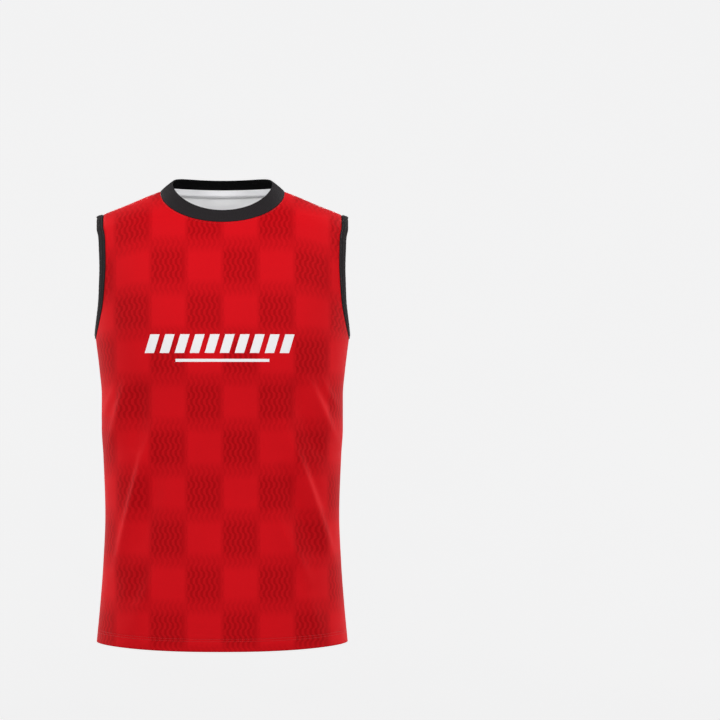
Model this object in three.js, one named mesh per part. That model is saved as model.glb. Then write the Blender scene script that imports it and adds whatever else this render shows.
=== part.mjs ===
// A sleeveless training bib of light knitted polyester, filled out as if worn by a general adult figure.
// Millimetres, +Z up. The chest faces -Y and +X is the wearer's left. The origin is the middle of the
// neck, at the height where the neck rib meets the two shoulder seams.
import * as THREE from "three";

// ---------- driving dimensions ----------
const CLOTH = 1.6; // wall of a panel
const HEM_CLOTH = 2.6; // wall where the hem is turned up
const SEAM_GAP = 0.3; // gap between two pieces that a seam joins
const NECK_HALF_WIDTH = 94.5; // neck seam at the shoulder seam
const FRONT_NECK_DROP = 49.5; // neck seam at the centre front, below the shoulder
const BACK_NECK_DROP = 3; // and at the centre back
const ARMHOLE_TOP = -36; // height where the armhole seam meets the shoulder seam
const UNDERARM = -225; // height where the armhole seam meets the side seam
const FRONT_ARMHOLE_DEPTH = 57; // how far the armhole seam reaches forward
const BACK_ARMHOLE_DEPTH = 56.5; // how far the armhole seam reaches back
const HEM = -683; // height of the hem at the side seams
const FRONT_HEM_DROP = 10; // extra length at the centre front
const BACK_HEM_DROP = 19; // extra length at the centre back
const HEM_ROUNDNESS = 2; // how late the extra length comes (1 follows the oval of the body)
const HEM_TURN = 20; // height of the turned hem
const HEM_STEP = 1.5; // height over which the turned cloth ends
const BINDING_WIDTH = 12;
const BINDING_TOP_SHARE = 0.88; // width of the binding where it crosses the shoulder, as a share
const BINDING_TOP_LIFT = 0.6; // how far it is turned up there, to carry on the slope of the shoulder
const BINDING_TOP_REACH = 26; // height under the shoulder over which that fades
const RIB_CLOTH = 2.4; // wall of the neck rib
const RIB_IN = 0.815; // width of the rib's top edge, as a share of the neck seam's
const RIB_FRONT_IN = 0.87; // reach of the top edge forward, as a share of the seam's
const RIB_BACK_IN = 0.92; // reach of the top edge back, as a share of the seam's
const RIB_SIDE_RISE = 12; // rise of the top edge over the seam at the shoulders
const RIB_FRONT_RISE = 17.7; // and at the centre front
const RIB_BACK_RISE = 21.3; // and at the centre back
const RIB_FRONT_CLIMB = 2; // how soon the rise grows from the shoulders to the front (1 is evenly)
const RIB_BACK_CLIMB = 3; // and to the back
const RIB_SIDE_BULGE = 1.2; // how far the band swells between its edges at the shoulders
const RIB_END_BULGE = 0.8; // and at the centre front and back
const TAPE_CLOTH = 1;
const TAPE_GAP = 0.7; // how far the tape lies off the cloth that it covers
const TAPE_COLUMNS_SHORT = 1; // facets by which the tape stops short of each shoulder seam
const TAPE_TOP = 0.37; // the tape's upper edge, as a share of the way up the neck rib
const TAPE_BOTTOM = 0.24; // its lower edge, as a share of the first row of facets below the neck

// ---------- how finely the pieces are cut into facets ----------
const ROWS_BELOW = 20; // between the turned hem and the underarm
const ROWS_ABOVE = 16; // between the underarm and the shoulder
const NECK_HALF_COLUMNS = 10; // from the centre to the shoulder point of the neck
const SHOULDER_COLUMNS = 7; // along one shoulder seam
const HALF_COLUMNS = NECK_HALF_COLUMNS + SHOULDER_COLUMNS;

// ---------- the filled form ----------
// Level sections from the neck down to the hem: half the width, the depths in front of and behind the
// side seam, and how square the oval is (2 is a plain ellipse). Between the shoulder and the underarm
// the half width is that of the shoulder, which the armhole cuts off.
const SECTIONS = [
  { z: 6, half: 80, front: 15, back: 51.5, square: 2.0 },
  { z: 0, half: 94.5, front: 24, back: 54, square: 2.0 },
  { z: -10, half: 119.5, front: 44, back: 58, square: 2.0 },
  { z: -20, half: 142.5, front: 57, back: 62, square: 2.0 },
  { z: -36.5, half: 182.5, front: 70, back: 69, square: 2.0 },
  { z: -45, half: 196, front: 75, back: 72.5, square: 2.0 },
  { z: -60, half: 208, front: 81.5, back: 78.5, square: 2.0 },
  { z: -90, half: 214, front: 92, back: 88, square: 2.02 },
  { z: -128, half: 208.5, front: 103, back: 97.5, square: 2.08 },
  { z: -175, half: 198, front: 112, back: 105, square: 2.2 },
  { z: -225, half: 192, front: 117, back: 109, square: 2.3 },
  { z: -274, half: 186, front: 118, back: 108, square: 2.35 },
  { z: -310, half: 183, front: 116, back: 104.5, square: 2.35 },
  { z: -360, half: 183, front: 114, back: 100.5, square: 2.35 },
  { z: -401, half: 180.5, front: 112, back: 98, square: 2.35 },
  { z: -492, half: 177.5, front: 110, back: 97, square: 2.35 },
  { z: -565, half: 180.5, front: 112, back: 104, square: 2.35 },
  { z: -620, half: 184.5, front: 115, back: 110, square: 2.35 },
  { z: -700, half: 192, front: 118, back: 116, square: 2.35 },
];

// The largest folds, each a soft ridge (height above zero) or trough (below zero) that follows an arc
// from one end to the other, given across (x) and up (z). bow is how far the arc's middle lies below
// the straight line, and width is the distance at which the fold has faded to a third.
const FRONT_FOLDS = [
  { x0: -103, z0: -345, x1: -165, z1: -590, bow: 0, width: 13, height: 4.5 },
  { x0: -144, z0: -285, x1: -172, z1: -395, bow: 0, width: 12, height: 2.5 },
  { x0: -122, z0: -290, x1: -129, z1: -398, bow: 0, width: 14, height: -4.5 },
  { x0: -90, z0: -400, x1: -127, z1: -560, bow: 0, width: 14, height: -2.5 },
  { x0: 90, z0: -345, x1: 172, z1: -570, bow: 0, width: 13, height: 4.5 },
  { x0: 126, z0: -280, x1: 172, z1: -382, bow: 0, width: 12, height: 2.5 },
  { x0: 106, z0: -285, x1: 150, z1: -405, bow: 6, width: 13, height: -4 },
  { x0: 76, z0: -478, x1: 134, z1: -600, bow: 0, width: 12, height: 3 },
  { x0: 86, z0: -410, x1: 142, z1: -560, bow: 0, width: 12, height: -4 },
];
const BACK_FOLDS = [
  { x0: 178, z0: -401, x1: 100, z1: -462, bow: 0, width: 13, height: -4 },
  { x0: 160, z0: -456, x1: -5, z1: -522, bow: 8, width: 13, height: 4.5 },
  { x0: 120, z0: -512, x1: -34, z1: -546, bow: 13, width: 14, height: -6 },
  { x0: -85, z0: -497, x1: -163, z1: -420, bow: 0, width: 13, height: -4 },
  { x0: -40, z0: -548, x1: -158, z1: -452, bow: 9, width: 13, height: 4.5 },
  { x0: -46, z0: -572, x1: -150, z1: -484, bow: 8, width: 13, height: -5 },
  { x0: 168, z0: -500, x1: 86, z1: -655, bow: 6, width: 13, height: -4.5 },
  { x0: -160, z0: -490, x1: -72, z1: -648, bow: 3, width: 13, height: -4.5 },
  { x0: 52, z0: -584, x1: -34, z1: -592, bow: 18, width: 14, height: -4 },
];

// ---------- small helpers ----------
const mix = (a, b, share) => a + (b - a) * share;
const clamp01 = (value) => Math.min(1, Math.max(0, value));
const smoothstep = (low, high, value) => {
  const share = clamp01((value - low) / (high - low));
  return share * share * (3 - 2 * share);
};

// A smooth curve through one column of the section table that never swings past its rows: a cubic
// between each two rows, whose slope at a row is the harmonic mean of the slopes on its two sides.
function curveThrough(column) {
  const rows = [...SECTIONS].reverse();
  const steps = rows.slice(1).map((row, i) => row.z - rows[i].z);
  const grades = rows.slice(1).map((row, i) => (row[column] - rows[i][column]) / steps[i]);
  const slopes = rows.map((row, i) => {
    if (i === 0) return grades[0];
    if (i === rows.length - 1) return grades[i - 1];
    const product = grades[i - 1] * grades[i];
    return product <= 0 ? 0 : (2 * product) / (grades[i - 1] + grades[i]);
  });
  return (z) => {
    let i = rows.findIndex((row) => row.z > z) - 1;
    if (i < 0) i = z < rows[0].z ? 0 : rows.length - 2;
    const s = clamp01((z - rows[i].z) / steps[i]);
    return (
      (2 * s ** 3 - 3 * s ** 2 + 1) * rows[i][column] +
      (s ** 3 - 2 * s ** 2 + s) * steps[i] * slopes[i] +
      (3 * s ** 2 - 2 * s ** 3) * rows[i + 1][column] +
      (s ** 3 - s ** 2) * steps[i] * slopes[i + 1]
    );
  };
}
const halfWidthAt = curveThrough("half");
const squarenessAt = curveThrough("square");

// What differs between the front and the back: the depth column, the way it faces and its edges.
const FRONT = {
  faces: -1,
  depthAt: curveThrough("front"),
  neckHeight: -FRONT_NECK_DROP,
  neckRoundness: 1,
  armholeDepth: FRONT_ARMHOLE_DEPTH,
  armholePowers: [0.85, 0.77],
  hemDrop: FRONT_HEM_DROP,
  folds: FRONT_FOLDS,
};
const BACK = {
  faces: 1,
  depthAt: curveThrough("back"),
  neckHeight: -BACK_NECK_DROP,
  neckRoundness: 3,
  armholeDepth: BACK_ARMHOLE_DEPTH,
  armholePowers: [0.7, 0.85],
  hemDrop: BACK_HEM_DROP,
  folds: BACK_FOLDS,
};

// Distance in front of (or behind) the side seam, at width x and height z: (x/half)^n + (y/depth)^n = 1.
function reachAt(panel, x, z) {
  const n = squarenessAt(z);
  const across = Math.min(1, Math.abs(x) / halfWidthAt(z));
  return panel.depthAt(z) * (1 - across ** n) ** (1 / n);
}

// Width of the section where it lies `reach` in front of the side seam: the same oval, solved for x.
function widthAt(panel, reach, z) {
  const n = squarenessAt(z);
  return halfWidthAt(z) * (1 - (reach / panel.depthAt(z)) ** n) ** (1 / n);
}

// ---------- the panels ----------
// Column u of a level row as shares of the half width and of the depth. The columns stand at even
// angles of the oval, so that they come closer where it turns to the side.
function ovalShares(u, z) {
  const n = squarenessAt(z);
  const sine = Math.sin((u * Math.PI) / 2);
  const cosine = Math.cos((u * Math.PI) / 2);
  const size = (sine ** n + cosine ** n) ** (1 / n);
  return { across: sine / size, deep: cosine / size };
}

// Top edge at column u from 0 to 1: the neck seam, whose height follows the cosine of its angle to the
// power of its roundness (1 is an ellipse seen from the front), then the shoulder seam, along which
// the section is only as wide as the seam itself.
function topEdge(panel, u) {
  const neckShare = NECK_HALF_COLUMNS / HALF_COLUMNS;
  if (u <= neckShare) {
    const angle = (1 - (1 - u / neckShare) ** 1.3) * (Math.PI / 2);
    const z = panel.neckHeight * Math.cos(angle) ** panel.neckRoundness;
    return { x: NECK_HALF_WIDTH * Math.sin(angle), z };
  }
  const z = ((u - neckShare) / (1 - neckShare)) * ARMHOLE_TOP;
  return { x: halfWidthAt(z), z };
}

// Armhole seam at share w of its way from the underarm up to the shoulder: an oval seen from the side,
// squared by the panel's armhole powers, the first at the underarm and the second at the shoulder (1 is
// a plain ellipse). quarter is its place round the level section, from 0 at the centre to 1 at the side.
function armholeEdge(panel, w) {
  const angle = w * Math.PI;
  const z = mix(UNDERARM, ARMHOLE_TOP, (1 - Math.cos(angle)) / 2);
  const power = mix(...panel.armholePowers, w);
  const reach = panel.armholeDepth * Math.max(0, Math.sin(angle)) ** power;
  const x = widthAt(panel, reach, z);
  const quarter = Math.atan2(x / halfWidthAt(z), reach / panel.depthAt(z)) / (Math.PI / 2);
  return { x, z, quarter };
}

// Place on the upper part of a panel: u across from 0 to 1, w up from the underarm to the top edge.
// Rows turn gradually from level ones into the shape of the top edge, and follow the armhole's rows at
// the side. Under the shoulder seam they come closer, because the form turns level there.
function upperPlace(panel, u, w) {
  const top = topEdge(panel, u);
  const side = armholeEdge(panel, w);
  const topShare = top.x / topEdge(panel, 1).x;
  const slowing = 0.9 * w + 1.05 * w ** 2 - 0.95 * w ** 3;
  const rise = mix(w, slowing, smoothstep(0.25, 0.6, u));
  const sideRise = (side.z - UNDERARM) / (ARMHOLE_TOP - UNDERARM);
  const ovalShare = ovalShares(u * side.quarter, side.z).across / ovalShares(side.quarter, side.z).across;
  const share = mix(ovalShare, topShare, smoothstep(0, 1, w));
  return {
    x: side.x * share,
    z: mix(UNDERARM, top.z, mix(rise, sideRise, u ** 3)),
  };
}

// Height of a row above or below the form, from the folds, faded out towards the panel's side edges.
function foldAt(panel, x, z, u) {
  let height = 0;
  for (const fold of panel.folds) {
    const runX = fold.x1 - fold.x0;
    const runZ = fold.z1 - fold.z0;
    const length = Math.hypot(runX, runZ);
    const along = ((x - fold.x0) * runX + (z - fold.z0) * runZ) / length ** 2;
    if (along <= 0 || along >= 1) continue;
    const side = ((x - fold.x0) * runZ - (z - fold.z0) * runX) / length;
    const bowed = side + Math.sign(runX) * fold.bow * -4 * along * (1 - along);
    height += fold.height * Math.sin(along * Math.PI) ** 0.8 * Math.exp(-((bowed / fold.width) ** 2));
  }
  return height * (1 - Math.abs(u) ** 8);
}

// The heights of the level rows between the hem and the underarm, as shares of that way.
function lowerShares() {
  const way = UNDERARM - HEM;
  const shares = [0, HEM_TURN / way, (HEM_TURN + HEM_STEP) / way];
  for (let i = 1; i < ROWS_BELOW; i++) shares.push(mix(shares[2], 1, i / ROWS_BELOW));
  return shares;
}
const LOWER_SHARES = lowerShares();

// One panel as a grid of outer points, row by row from the hem up, before the folds.
function plainGrid(panel) {
  const rows = [];
  const place = (u, x, z) => {
    const reach = u === 1 && (z >= ARMHOLE_TOP || z <= UNDERARM) ? 0 : reachAt(panel, x, z);
    return { x, reach, z };
  };
  const addRow = (placeAt) => {
    const row = [];
    for (let j = -HALF_COLUMNS; j <= HALF_COLUMNS; j++) {
      const u = Math.abs(j) / HALF_COLUMNS;
      const { x, reach, z } = placeAt(u);
      const y = panel.faces * (reach + SEAM_GAP / 2);
      row.push(new THREE.Vector3(Math.sign(j) * x, y, z));
    }
    rows.push(row);
  };
  for (const share of LOWER_SHARES) {
    addRow((u) => {
      const hem = HEM - panel.hemDrop * ovalShares(u, HEM).deep ** HEM_ROUNDNESS;
      const z = mix(hem, UNDERARM, share);
      return place(u, halfWidthAt(z) * ovalShares(u, z).across, z);
    });
  }
  for (let i = 0; i <= ROWS_ABOVE; i++) {
    addRow((u) => {
      const { x, z } = upperPlace(panel, u, i / ROWS_ABOVE);
      return place(u, x, z);
    });
  }
  return rows;
}

// The outward direction of the plain form: how fast the oval's own sum, (x/half)^n + (y/depth)^n, grows
// across, forward or back, and up. On a side or shoulder seam it lies in the seam's own plane.
function outwardAt(panel, { x, y, z }) {
  const sum = (height, width, reach) => {
    const n = squarenessAt(height);
    return (width / halfWidthAt(height)) ** n + (reach / panel.depthAt(height)) ** n;
  };
  const n = squarenessAt(z);
  const width = Math.abs(x);
  const reach = Math.max(0, Math.abs(y) - SEAM_GAP / 2);
  const across = (n * width ** (n - 1)) / halfWidthAt(z) ** n;
  const forward = (n * reach ** (n - 1)) / panel.depthAt(z) ** n;
  const up = sum(z + 0.5, width, reach) - sum(z - 0.5, width, reach);
  return new THREE.Vector3(Math.sign(x) * across, panel.faces * forward, up).normalize();
}

// A panel's outer and inner points and its outward directions, with the folds pressed in.
function panelSurfaces(panel) {
  const plain = plainGrid(panel);
  const outward = plain.map((row) => row.map((point) => outwardAt(panel, point)));
  const outer = plain.map((row, i) =>
    row.map((point, j) => {
      const u = (j - HALF_COLUMNS) / HALF_COLUMNS;
      return point.clone().addScaledVector(outward[i][j], foldAt(panel, point.x, point.z, u));
    }),
  );
  const inner = outer.map((row, i) =>
    row.map((point, j) => point.clone().addScaledVector(outward[i][j], i < 2 ? -HEM_CLOTH : -CLOTH)),
  );
  return { outer, inner, outward };
}

// ---------- meshes ----------
// A mesh from points and triangles, turned so that its faces point out of the body.
function bodyMesh(name, points, triangles, material) {
  let volume = 0;
  for (const [a, b, c] of triangles) {
    volume += points[a].dot(points[b].clone().cross(points[c]));
  }
  const faces = volume < 0 ? triangles.map(([a, b, c]) => [a, c, b]) : triangles;
  const geometry = new THREE.BufferGeometry().setFromPoints(points);
  geometry.setIndex(faces.flat());
  geometry.computeVertexNormals();
  const mesh = new THREE.Mesh(geometry, material);
  mesh.name = name;
  return mesh;
}

// A sheet with a wall: two grids of the same size, closed all round their edges.
function sheetMesh(name, outer, inner, material) {
  const rows = outer.length;
  const columns = outer[0].length;
  const points = [...outer.flat(), ...inner.flat()];
  const outerAt = (i, j) => i * columns + j;
  const innerAt = (i, j) => rows * columns + i * columns + j;
  const triangles = [];
  const quad = (a, b, c, d) => triangles.push([a, b, c], [a, c, d]);
  for (let i = 0; i < rows - 1; i++) {
    for (let j = 0; j < columns - 1; j++) {
      quad(outerAt(i, j), outerAt(i, j + 1), outerAt(i + 1, j + 1), outerAt(i + 1, j));
      quad(innerAt(i, j), innerAt(i + 1, j), innerAt(i + 1, j + 1), innerAt(i, j + 1));
    }
    quad(outerAt(i + 1, 0), innerAt(i + 1, 0), innerAt(i, 0), outerAt(i, 0));
    const j = columns - 1;
    quad(outerAt(i, j), innerAt(i, j), innerAt(i + 1, j), outerAt(i + 1, j));
  }
  for (let j = 0; j < columns - 1; j++) {
    const i = rows - 1;
    quad(outerAt(0, j), innerAt(0, j), innerAt(0, j + 1), outerAt(0, j + 1));
    quad(outerAt(i, j + 1), innerAt(i, j + 1), innerAt(i, j), outerAt(i, j));
  }
  return bodyMesh(name, points, triangles, material);
}

// A closed ring: the same outline at each stop of a loop, joined to the next one.
function ringMesh(name, outlines, material) {
  const stops = outlines.length;
  const corners = outlines[0].length;
  const triangles = [];
  for (let i = 0; i < stops; i++) {
    for (let k = 0; k < corners; k++) {
      const a = i * corners + k;
      const b = i * corners + ((k + 1) % corners);
      const c = ((i + 1) % stops) * corners + ((k + 1) % corners);
      const d = ((i + 1) % stops) * corners + k;
      triangles.push([a, b, c], [a, c, d]);
    }
  }
  return bodyMesh(name, outlines.flat(), triangles, material);
}

// Joins the matching edges of the two panels into one loop of stops, each with its place on the outer
// side and its outward direction. Each edge runs from one meeting point to the other, and the two
// meeting points are shared.
function joinEdges(frontEdge, backEdge) {
  const last = frontEdge.length - 1;
  const meet = (i) => ({
    at: frontEdge[i].at.clone().lerp(backEdge[i].at, 0.5),
    outward: frontEdge[i].outward.clone().add(backEdge[i].outward).normalize(),
  });
  const middle = (edge) => edge.slice(1, last);
  return [meet(0), ...middle(frontEdge), meet(last), ...middle(backEdge).reverse()];
}

// The direction along a closed loop at each stop, and the one that leads off the panel's edge.
function addDirections(loop, towards) {
  return loop.map((stop, i) => {
    const before = loop[(i - 1 + loop.length) % loop.length].at;
    const after = loop[(i + 1) % loop.length].at;
    const along = after.clone().sub(before).normalize();
    const off = along.clone().cross(stop.outward).normalize();
    if (off.dot(towards.clone().sub(stop.at)) < 0) off.negate();
    return { ...stop, along, off };
  });
}

// ---------- materials ----------
const redKnit = new THREE.MeshStandardMaterial({ color: 0xcf0a16, roughness: 0.72, metalness: 0 });
const blackRib = new THREE.MeshStandardMaterial({ color: 0x26252a, roughness: 0.85, metalness: 0 });
const whiteTape = new THREE.MeshStandardMaterial({ color: 0xd9d9de, roughness: 0.8, metalness: 0 });

// ---------- the garment ----------
const front = panelSurfaces(FRONT);
const back = panelSurfaces(BACK);
const topRow = front.outer.length - 1;
const underarmRow = topRow - ROWS_ABOVE;

// The neck rib's stops, one at each neck point of the panels. Its foot stands SEAM_GAP off the panel's
// edge, and its top edge is the seam drawn in towards the neck and lifted.
function neckRibStops() {
  const columns = [];
  for (let j = -NECK_HALF_COLUMNS; j <= NECK_HALF_COLUMNS; j++) columns.push(HALF_COLUMNS + j);
  const edgeOf = (panel) =>
    columns.map((j) => ({ at: panel.outer[topRow][j], outward: panel.outward[topRow][j] }));
  const neckCentre = new THREE.Vector3(0, 0, 2 * RIB_BACK_RISE);
  const loop = addDirections(joinEdges(edgeOf(front), edgeOf(back)), neckCentre);
  return loop.map(({ at, outward, off }) => {
    const forward = at.y < 0;
    const panel = forward ? FRONT : BACK;
    const facing = Math.min(1, Math.abs(at.y) / panel.depthAt(panel.neckHeight));
    const endRise = forward ? RIB_FRONT_RISE : RIB_BACK_RISE;
    const climb = forward ? RIB_FRONT_CLIMB : RIB_BACK_CLIMB;
    const rise = mix(RIB_SIDE_RISE, endRise, 1 - (1 - facing) ** climb);
    const drawnIn = forward ? RIB_FRONT_IN : RIB_BACK_IN;
    const top = new THREE.Vector3(at.x * RIB_IN, at.y * drawnIn, at.z + rise);
    const foot = at.clone().addScaledVector(off, SEAM_GAP);
    const innerFoot = foot.clone().addScaledVector(outward, -RIB_CLOTH);
    const inward = innerFoot.clone().sub(foot).normalize();
    const innerTop = top.clone().addScaledVector(inward, RIB_CLOTH);
    const bulge = inward.clone().multiplyScalar(-mix(RIB_SIDE_BULGE, RIB_END_BULGE, facing ** 2));
    return { foot, top, innerFoot, innerTop, inward, bulge };
  });
}

function neckRib(stops) {
  const outlines = stops.map(({ foot, top, innerFoot, innerTop, bulge }) => [
    foot,
    foot.clone().lerp(top, 0.5).add(bulge),
    top,
    top.clone().lerp(innerTop, 0.5).addScaledVector(top.clone().sub(foot).normalize(), 1),
    innerTop,
    innerFoot.clone().lerp(innerTop, 0.5).add(bulge),
    innerFoot,
  ]);
  return ringMesh("neck_rib", outlines, blackRib);
}

// Armhole binding: its stops are the panels' armhole points. Each stop carries a flat tube outline,
// given by how far it leads off the panel's edge and how far it stands out from the panel's outside.
// Where it crosses the shoulder it is narrower, and turned up so that it carries on the slope.
const BINDING_OUTLINE = [
  { off: SEAM_GAP, out: 0.4 },
  { off: BINDING_WIDTH * 0.5, out: 0.9 },
  { off: BINDING_WIDTH - 1, out: 0.5 },
  { off: BINDING_WIDTH, out: -0.8 },
  { off: BINDING_WIDTH - 1, out: -2.1 },
  { off: BINDING_WIDTH * 0.5, out: -2.5 },
  { off: SEAM_GAP, out: -2.1 },
];
const shoulderShare = (z) => smoothstep(ARMHOLE_TOP - BINDING_TOP_REACH, ARMHOLE_TOP, z);
function armholeBinding(name, side) {
  const column = HALF_COLUMNS + side * HALF_COLUMNS;
  const edgeOf = (panel) =>
    panel.outer.slice(underarmRow).map((row, i) => {
      const at = row[column];
      const outward = panel.outward[underarmRow + i][column].clone();
      outward.z += BINDING_TOP_LIFT * shoulderShare(at.z);
      return { at, outward: outward.normalize() };
    });
  const middle = new THREE.Vector3(side * halfWidthAt(UNDERARM), 0, (UNDERARM + ARMHOLE_TOP) / 2);
  const loop = addDirections(joinEdges(edgeOf(front), edgeOf(back)), middle);
  const outlines = loop.map(({ at, outward, off }) => {
    const narrowing = mix(1, BINDING_TOP_SHARE, shoulderShare(at.z));
    return BINDING_OUTLINE.map((corner) =>
      at
        .clone()
        .addScaledVector(off, SEAM_GAP + (corner.off - SEAM_GAP) * narrowing)
        .addScaledVector(outward, corner.out),
    );
  });
  return ringMesh(name, outlines, blackRib);
}

// Back neck tape: a strip that covers the back of the neck seam from inside. Its upper part lies on the
// rib and its lower part on the back panel, TAPE_GAP clear of both.
function backNeckTape(stops) {
  const reach = NECK_HALF_COLUMNS - TAPE_COLUMNS_SHORT;
  const columns = Array.from({ length: 2 * reach + 1 }, (_, k) => k - reach);
  const onRib = (share, depth) =>
    columns.map((j) => {
      const { innerFoot, innerTop, inward, bulge } = stops[3 * NECK_HALF_COLUMNS - j];
      const place = innerFoot.clone().lerp(innerTop, share).addScaledVector(bulge, 2 * share);
      return place.addScaledVector(inward, depth);
    });
  const onPanel = (share, depth) =>
    columns.map((j) => {
      const i = HALF_COLUMNS + j;
      const outward = back.outward[topRow][i].clone().lerp(back.outward[topRow - 1][i], share);
      const place = back.inner[topRow][i].clone().lerp(back.inner[topRow - 1][i], share);
      return place.addScaledVector(outward.normalize(), -depth);
    });
  const grid = (depth) => [onPanel(TAPE_BOTTOM, depth), onRib(0, depth), onRib(TAPE_TOP, depth)];
  return sheetMesh("back_neck_tape", grid(TAPE_GAP), grid(TAPE_GAP + TAPE_CLOTH), whiteTape);
}

const ribStops = neckRibStops();
const bib = new THREE.Group();
bib.name = "training_bib";
bib.add(sheetMesh("front_panel", front.outer, front.inner, redKnit));
bib.add(sheetMesh("back_panel", back.outer, back.inner, redKnit));
bib.add(neckRib(ribStops));
bib.add(armholeBinding("armhole_binding_left", 1));
bib.add(armholeBinding("armhole_binding_right", -1));
bib.add(backNeckTape(ribStops));

export default bib;
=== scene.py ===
# %% [markdown]
# A sleeveless training bib of printed polyester knit, filled out as if worn, with nobody in it.
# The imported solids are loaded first. They fix where everything is: the chest faces -Y, +X is the
# wearer's left, and the origin is the middle of the neck. Every piece of cloth below is a finer
# skin on the form of its own solid, so each formula here repeats the form that the solids were
# cut from.

import math

import bpy
import numpy as np
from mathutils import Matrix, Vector


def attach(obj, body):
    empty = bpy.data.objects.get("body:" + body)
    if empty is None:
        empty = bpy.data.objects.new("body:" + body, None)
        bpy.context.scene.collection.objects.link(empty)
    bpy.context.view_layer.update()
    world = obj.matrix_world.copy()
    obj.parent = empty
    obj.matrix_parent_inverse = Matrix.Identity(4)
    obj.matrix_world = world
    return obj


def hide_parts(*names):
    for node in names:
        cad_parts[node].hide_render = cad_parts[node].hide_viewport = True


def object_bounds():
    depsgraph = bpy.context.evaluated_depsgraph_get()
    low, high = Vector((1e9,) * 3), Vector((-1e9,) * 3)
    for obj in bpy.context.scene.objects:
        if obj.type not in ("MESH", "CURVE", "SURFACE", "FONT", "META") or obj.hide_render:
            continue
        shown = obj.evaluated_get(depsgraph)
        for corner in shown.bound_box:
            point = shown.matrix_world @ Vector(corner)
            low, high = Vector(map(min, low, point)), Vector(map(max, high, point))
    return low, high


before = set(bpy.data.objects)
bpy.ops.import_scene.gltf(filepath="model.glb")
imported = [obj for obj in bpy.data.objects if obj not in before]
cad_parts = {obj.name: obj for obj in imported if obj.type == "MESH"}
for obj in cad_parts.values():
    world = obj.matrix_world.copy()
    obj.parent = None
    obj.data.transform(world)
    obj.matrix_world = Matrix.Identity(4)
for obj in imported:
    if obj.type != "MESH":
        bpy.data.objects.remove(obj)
cad_low, cad_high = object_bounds()
print("solids:", sorted(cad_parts))
print("box in metres:", [round(v, 4) for v in (*cad_low, *cad_high)])

# %% [markdown]
# The sizes that a cutter would write on the pattern, in millimetres. Cloth in the solids is
# thicker than in life so that it can collide. Here it gets the thickness of a real double knit,
# measured in from the same outer face.

# %% Sizes in millimetres
MM = 0.001
CLOTH = 0.9  # one layer of the printed knit
HEM_CLOTH = 1.9  # the turned hem: two layers
SEAM_GAP = 0.3  # space between a panel and the band sewn to it
PANEL_GAP = 0.06  # space between the two panels at their side and shoulder seams
NECK_HALF_WIDTH, FRONT_NECK_DROP, BACK_NECK_DROP = 94.5, 49.5, 3
ARMHOLE_TOP, UNDERARM, HEM = -36, -225, -683
HEM_TURN, BINDING_WIDTH, RIB_CLOTH = 20, 12, 2.4
NECK_SHARE = 10 / 17  # part of a panel's top edge that is neck; the rest is shoulder seam

# %% [markdown]
# The body form is a stack of level ovals. Each is written as (x / half)^n + (y / depth)^n = 1,
# with its own half width, its own depth in front and behind, and a power n that squares it a
# little. A table with one row for each height is easier to correct than a mesh, and a smooth
# curve through each column fills in the heights between.

# %% Level sections and the curves through them
#      height, half, front, back, power
SECTIONS = np.array([
    (6, 80, 15, 51.5, 2.0),
    (0, 94.5, 24, 54, 2.0),
    (-10, 119.5, 44, 58, 2.0),
    (-20, 142.5, 57, 62, 2.0),
    (-36.5, 182.5, 70, 69, 2.0),
    (-45, 196, 75, 72.5, 2.0),
    (-60, 208, 81.5, 78.5, 2.0),
    (-90, 214, 92, 88, 2.02),
    (-128, 208.5, 103, 97.5, 2.08),
    (-175, 198, 112, 105, 2.2),
    (-225, 192, 117, 109, 2.3),
    (-274, 186, 118, 108, 2.35),
    (-310, 183, 116, 104.5, 2.35),
    (-360, 183, 114, 100.5, 2.35),
    (-401, 180.5, 112, 98, 2.35),
    (-492, 177.5, 110, 97, 2.35),
    (-565, 180.5, 112, 104, 2.35),
    (-620, 184.5, 115, 110, 2.35),
    (-700, 192, 118, 116, 2.35),
])[::-1]


def mix(a, b, share):
    """a where the share is 0, b where it is 1, and in between on a straight line."""
    return a + (b - a) * share


def smoothstep(low, high, value):
    """0 below low, 1 above high, and 3s^2 - 2s^3 of the share s between them."""
    s = np.clip((value - low) / (high - low), 0, 1)
    return s * s * (3 - 2 * s)


def curve_through(column):
    """A cubic between each two rows. Its slope at a row is the harmonic mean of its neighbours'."""
    z, value = SECTIONS[:, 0], SECTIONS[:, column]
    step = np.diff(z)
    grade = np.diff(value) / step
    product = grade[:-1] * grade[1:]
    total = np.where(product > 0, grade[:-1] + grade[1:], 1)
    slope = np.concatenate([grade[:1], np.where(product > 0, 2 * product / total, 0), grade[-1:]])

    def at(height):
        i = np.clip(np.searchsorted(z, height, side="right") - 1, 0, len(step) - 1)
        s = np.clip((height - z[i]) / step[i], 0, 1)
        return (
            (2 * s**3 - 3 * s**2 + 1) * value[i]
            + (s**3 - 2 * s**2 + s) * step[i] * slope[i]
            + (3 * s**2 - 2 * s**3) * value[i + 1]
            + (s**3 - s**2) * step[i] * slope[i + 1]
        )

    return at


half_at, front_at, back_at, power_at = (curve_through(c) for c in (1, 2, 3, 4))
print("half width at the chest and the waist:", half_at(-225.0), half_at(-492.0))
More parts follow.
